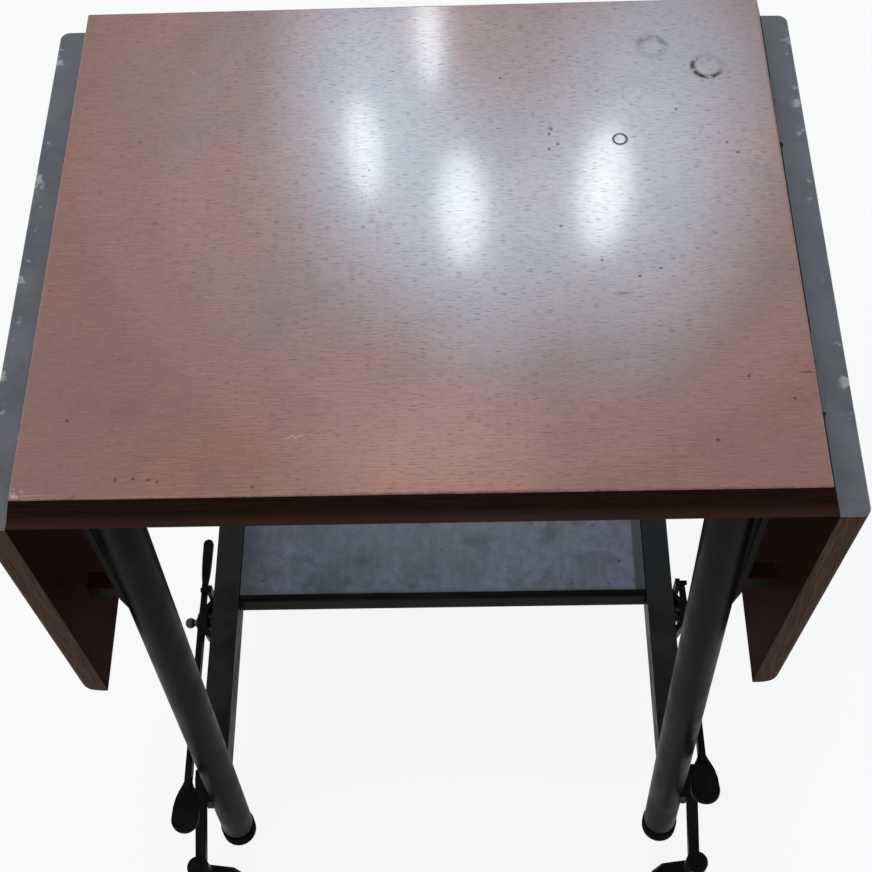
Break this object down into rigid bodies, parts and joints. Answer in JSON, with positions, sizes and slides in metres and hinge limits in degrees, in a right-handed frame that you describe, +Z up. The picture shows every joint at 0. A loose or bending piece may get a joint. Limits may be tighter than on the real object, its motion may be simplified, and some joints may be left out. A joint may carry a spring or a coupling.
{
  "type": "typewriter table",
  "caption": "Small office table with a veneered top, hinged drop leaves, splayed tube legs, a lower tray, and foot pedals that lower swivel casters beside the front legs.",
  "frame": {"origin": "on the floor, at the middle of the whole table's bounding box", "axes": "+Z up, +X to the user's right, the user's side is -Y"},
  "size_m": [0.4954, 0.4808, 0.66],
  "materials": {
    "veneer": "worn gloss lacquer over red-brown veneer, with bloom and ring stains",
    "leaf_wood": "dark red-brown lacquered wood, scuffed arrises",
    "black_paint": "black-brown satin stove paint, worn on edges",
    "tray_paint": "dark blue-grey paint with blotchy wear and specks",
    "steel": "dull plated steel",
    "rubber": "matt black rubber"
  },
  "bodies": {
    "frame": {"top_board": "veneer", "front_top_angle": "black_paint", "rear_top_angle": "black_paint", "tray": "tray_paint", "right_top_angle": "black_paint", "right_side_rail": "black_paint", "right_front_leg": "black_paint", "right_rear_leg": "black_paint", "right_foot_tip": "rubber", "right_rear_socket": "steel", "right_front_hinge_plate": "steel", "right_rear_hinge_plate": "steel", "right_front_hanger": "black_paint", "right_rear_hanger": "black_paint", "right_pedal_bracket": "black_paint", "right_pedal_bolt": "steel", "right_leg_pad": "black_paint", "right_arm_bolt": "steel", "left_top_angle": "black_paint", "left_side_rail": "black_paint", "left_front_leg": "black_paint", "left_rear_leg": "black_paint", "left_foot_tip": "rubber", "left_rear_socket": "steel", "left_front_hinge_plate": "steel", "left_rear_hinge_plate": "steel", "left_front_hanger": "black_paint", "left_rear_hanger": "black_paint", "left_pedal_bracket": "black_paint", "left_pedal_bolt": "steel", "left_leg_pad": "black_paint", "left_arm_bolt": "steel"},
    "right_leaf": {"right_leaf": "leaf_wood", "right_front_hinge_flap": "steel", "right_rear_hinge_flap": "steel"},
    "left_leaf": {"left_leaf": "leaf_wood", "left_front_hinge_flap": "steel", "left_rear_hinge_flap": "steel"},
    "right_supports": {"right_support_rod": "steel", "right_front_support_arm": "black_paint", "right_rear_support_arm": "black_paint"},
    "left_supports": {"left_support_rod": "steel", "left_front_support_arm": "black_paint", "left_rear_support_arm": "black_paint"},
    "right_pedal": {"right_pedal_lever": "black_paint"},
    "left_pedal": {"left_pedal_lever": "black_paint"},
    "right_caster_arm": {"right_caster_arm": "black_paint"},
    "left_caster_arm": {"left_caster_arm": "black_paint"},
    "right_front_caster": {"right_front_caster_fork": "black_paint", "right_front_caster_axle": "steel"},
    "left_front_caster": {"left_front_caster_fork": "black_paint", "left_front_caster_axle": "steel"},
    "right_rear_caster": {"right_rear_caster_fork": "black_paint", "right_rear_caster_axle": "steel"},
    "left_rear_caster": {"left_rear_caster_fork": "black_paint", "left_rear_caster_axle": "steel"},
    "right_front_wheel": {"right_front_caster_wheel": "rubber"},
    "left_front_wheel": {"left_front_caster_wheel": "rubber"},
    "right_rear_wheel": {"right_rear_caster_wheel": "rubber"},
    "left_rear_wheel": {"left_rear_caster_wheel": "rubber"}
  },
  "joints": [
    {"name": "right_leaf_fold", "type": "hinge", "parent": "frame", "child": "right_leaf", "pos_m": [0.22755, 0.01588, 0.63975], "axis": [0, -1, 0], "range_deg": [0, 92]},
    {"name": "left_leaf_fold", "type": "hinge", "parent": "frame", "child": "left_leaf", "pos_m": [-0.22755, 0.01588, 0.63975], "axis": [0, 1, 0], "range_deg": [0, 90]},
    {"name": "right_supports_swing", "type": "hinge", "parent": "frame", "child": "right_supports", "pos_m": [0.2025, 0.01588, 0.622], "axis": [0, -1, 0], "range_deg": [0, 90]},
    {"name": "left_supports_swing", "type": "hinge", "parent": "frame", "child": "left_supports", "pos_m": [-0.2025, 0.01588, 0.622], "axis": [0, 1, 0], "range_deg": [0, 90]},
    {"name": "right_pedal_rock", "type": "hinge", "parent": "frame", "child": "right_pedal", "pos_m": [0.2146, -0.02812, 0.158], "axis": [1, 0, 0], "range_deg": [-5, 31]},
    {"name": "left_pedal_rock", "type": "hinge", "parent": "frame", "child": "left_pedal", "pos_m": [-0.2146, -0.02812, 0.158], "axis": [1, 0, 0], "range_deg": [-20, 16]},
    {"name": "right_arm_swing", "type": "hinge", "parent": "frame", "child": "right_caster_arm", "pos_m": [0.21387, -0.16533, 0.1], "axis": [1, 0, 0], "range_deg": [-0.6, 3]},
    {"name": "left_arm_swing", "type": "hinge", "parent": "frame", "child": "left_caster_arm", "pos_m": [-0.21387, -0.16533, 0.1], "axis": [1, 0, 0], "range_deg": [-3.8, 3]},
    {"name": "right_front_swivel", "type": "hinge", "parent": "right_caster_arm", "child": "right_front_caster", "pos_m": [0.21557, -0.22412, 0.0632], "axis": [0, 0, 1], "continuous": true},
    {"name": "left_front_swivel", "type": "hinge", "parent": "left_caster_arm", "child": "left_front_caster", "pos_m": [-0.21557, -0.22412, 0.0632], "axis": [0, 0, 1], "continuous": true},
    {"name": "right_rear_swivel", "type": "hinge", "parent": "frame", "child": "right_rear_caster", "pos_m": [0.19332, 0.19835, 0.062], "axis": [0, 0, 1], "continuous": true},
    {"name": "left_rear_swivel", "type": "hinge", "parent": "frame", "child": "left_rear_caster", "pos_m": [-0.19332, 0.19835, 0.062], "axis": [0, 0, 1], "continuous": true},
    {"name": "right_front_spin", "type": "hinge", "parent": "right_front_caster", "child": "right_front_wheel", "pos_m": [0.19175, -0.22705, 0.0192], "axis": [0.1219, -0.9925, 0], "continuous": true},
    {"name": "left_front_spin", "type": "hinge", "parent": "left_front_caster", "child": "left_front_wheel", "pos_m": [-0.19175, -0.22705, 0.0192], "axis": [-0.1219, -0.9925, 0], "continuous": true},
    {"name": "right_rear_spin", "type": "hinge", "parent": "right_rear_caster", "child": "right_rear_wheel", "pos_m": [0.19332, 0.22235, 0.018], "axis": [1, 0, 0], "continuous": true},
    {"name": "left_rear_spin", "type": "hinge", "parent": "left_rear_caster", "child": "left_rear_wheel", "pos_m": [-0.19332, 0.22235, 0.018], "axis": [1, 0, 0], "continuous": true}
  ],
  "couplings": [
    {"joint": "right_supports_swing", "follows": "right_leaf_fold", "ratio": 0.97826},
    {"joint": "left_supports_swing", "follows": "left_leaf_fold", "ratio": 1},
    {"joint": "right_arm_swing", "follows": "right_pedal_rock", "ratio": 0.093},
    {"joint": "left_arm_swing", "follows": "left_pedal_rock", "ratio": 0.18}
  ]
}
